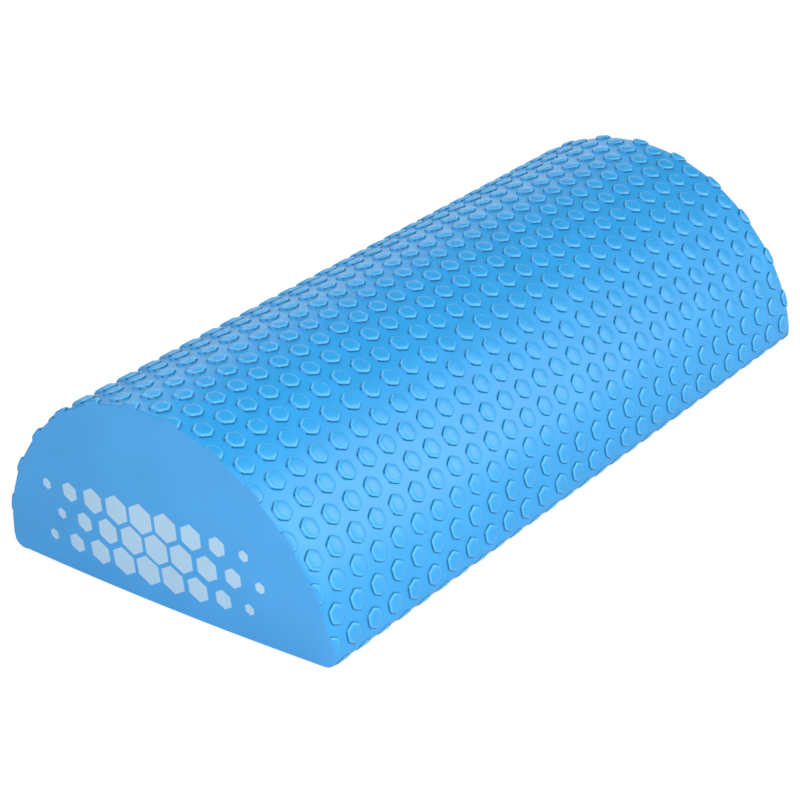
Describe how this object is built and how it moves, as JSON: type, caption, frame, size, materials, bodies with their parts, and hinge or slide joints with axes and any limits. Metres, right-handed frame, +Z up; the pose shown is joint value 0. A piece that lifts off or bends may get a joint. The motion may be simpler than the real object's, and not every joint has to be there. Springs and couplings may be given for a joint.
{
  "type": "half foam roller",
  "caption": "Half-round foam block with a studded curved side and a smooth flat base, for balance work, stretching and rolling.",
  "frame": {"origin": "under the middle of the flat base", "axes": "+X across the width, +Y along the length away from the front end, +Z up towards the crown of the round side"},
  "size_m": [0.15, 0.286, 0.0752],
  "materials": {
    "cut_foam": "matte closed-cell foam, cut face",
    "studded_foam": "satin moulded foam skin with hexagonal studs",
    "base_foam": "smooth moulded foam skin, soft satin"
  },
  "bodies": {
    "root": {"foam_core": "cut_foam", "studded_skin": "studded_foam", "base_skin": "base_foam"}
  },
  "joints": []
}
